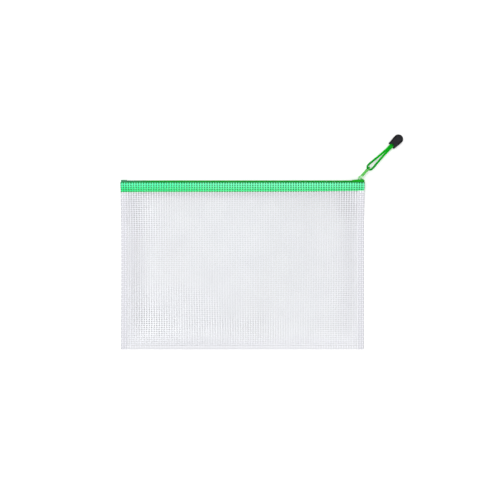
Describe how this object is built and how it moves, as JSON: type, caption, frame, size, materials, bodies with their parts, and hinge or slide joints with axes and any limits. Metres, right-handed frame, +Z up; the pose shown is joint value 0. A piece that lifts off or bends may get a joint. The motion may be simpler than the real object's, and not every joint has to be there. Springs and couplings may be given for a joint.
{
  "type": "mesh zipper pouch",
  "caption": "Flat rectangular pouch of white translucent grid-reinforced film with a green coil zip along its top edge, a slider, and a green cord loop pull with a black grip.",
  "frame": {"origin": "middle of the flat face that the pouch lies on, at the table", "axes": "+X along the zip towards its closed end, +Y from the bottom seam to the zip, +Z up through the front sheet"},
  "size_m": [0.3942, 0.3007, 0.011],
  "materials": {
    "film": "translucent soft vinyl over a white yarn grid",
    "tape": "woven tape",
    "coil": "satin nylon",
    "slider": "gloss enamel",
    "tab": "gloss enamel",
    "cord": "braided cord",
    "grip": "matt moulded rubber"
  },
  "bodies": {
    "pouch": {"front_sheet": "film", "back_sheet": "film", "front_tape": "tape", "back_tape": "tape", "front_coil": "coil", "back_coil": "coil", "front_top_stop": "coil", "back_top_stop": "coil", "bottom_stop": "coil"},
    "slider": {"slider_body": "slider"},
    "tab": {"pull_tab": "tab"},
    "cord_pull": {"pull_cord": "cord", "cord_knot": "cord", "cord_grip": "grip"}
  },
  "joints": [
    {"name": "slider_slide", "type": "slide", "parent": "pouch", "child": "slider", "axis": [1, 0, 0], "range_m": [-0.3135, 0], "deforming": ["front_coil", "back_coil"]},
    {"name": "tab_swing", "type": "hinge", "parent": "slider", "child": "tab", "pos_m": [0.1639, 0.122, 0.0055], "axis": [0, 0, 1], "range_deg": [-33, 122]},
    {"name": "cord_lift", "type": "hinge", "parent": "tab", "child": "cord_pull", "pos_m": [0.17552, 0.13468, 0.0055], "axis": [0.7373, -0.6756, 0], "range_deg": [-60, 60]}
  ]
}
